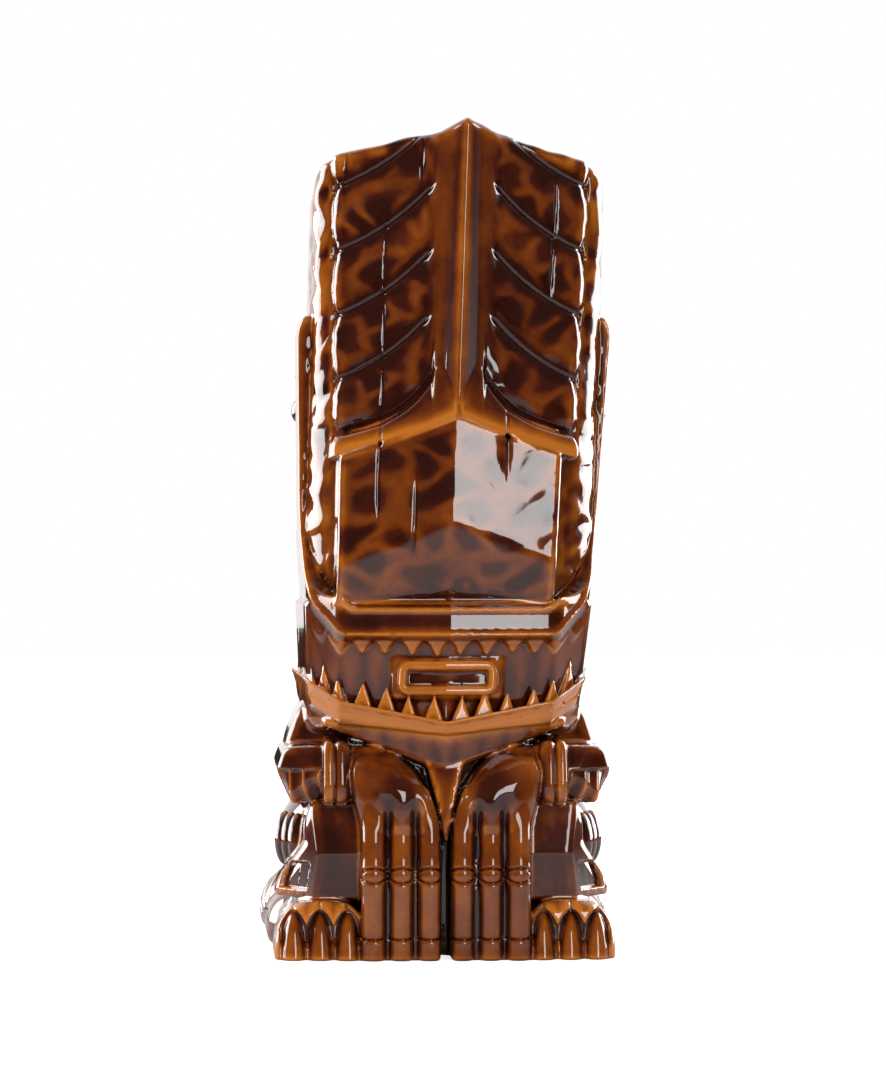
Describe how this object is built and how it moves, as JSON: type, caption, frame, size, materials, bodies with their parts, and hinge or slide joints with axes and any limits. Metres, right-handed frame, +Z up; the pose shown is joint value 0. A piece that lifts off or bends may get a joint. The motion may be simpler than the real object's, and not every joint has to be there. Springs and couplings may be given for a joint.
{
  "type": "tiki mug",
  "caption": "Tall ceramic drinking mug shaped as a squatting tiki figure: crested head, toothed mouth, arms folded over bent knees, hollow from the crown down.",
  "frame": {"origin": "middle of the resting face, at table level", "axes": "+Z up from the foot to the crest, the figure faces -Y, +X is to the viewer's right when facing the figure"},
  "size_m": [0.087, 0.086, 0.2],
  "materials": {
    "honey_glaze": "thick translucent honey-brown gloss glaze that breaks to amber on the edges and pools dark in the carving",
    "bare_clay": "unglazed, sanded stoneware foot"
  },
  "bodies": {
    "root": {"base_slab": "bare_clay", "brow_left": "honey_glaze", "brow_right": "honey_glaze", "calf_ribs_left": "honey_glaze", "calf_ribs_right": "honey_glaze", "cheek_left": "honey_glaze", "cheek_right": "honey_glaze", "chin": "honey_glaze", "claws_left": "honey_glaze", "claws_right": "honey_glaze", "crest_panel_left": "honey_glaze", "crest_panel_right": "honey_glaze", "crest_ridge": "honey_glaze", "ear_knobs_left": "honey_glaze", "ear_knobs_right": "honey_glaze", "fingers_left": "honey_glaze", "fingers_right": "honey_glaze", "foot_left": "honey_glaze", "foot_right": "honey_glaze", "forearm_left": "honey_glaze", "forearm_right": "honey_glaze", "hand_left": "honey_glaze", "hand_right": "honey_glaze", "haunch_left": "honey_glaze", "haunch_right": "honey_glaze", "head_shell": "honey_glaze", "lower_lip": "honey_glaze", "lower_teeth": "honey_glaze", "mouth_back": "honey_glaze", "shin_left": "honey_glaze", "shin_right": "honey_glaze", "shin_slats_left": "honey_glaze", "shin_slats_right": "honey_glaze", "shoulder_left": "honey_glaze", "shoulder_right": "honey_glaze", "snout": "honey_glaze", "thigh_left": "honey_glaze", "thigh_right": "honey_glaze", "tongue": "honey_glaze", "tongue_frame": "honey_glaze", "torso_shell": "honey_glaze", "upper_lip": "honey_glaze", "upper_teeth": "honey_glaze", "wrist_left": "honey_glaze", "wrist_right": "honey_glaze"}
  },
  "joints": []
}
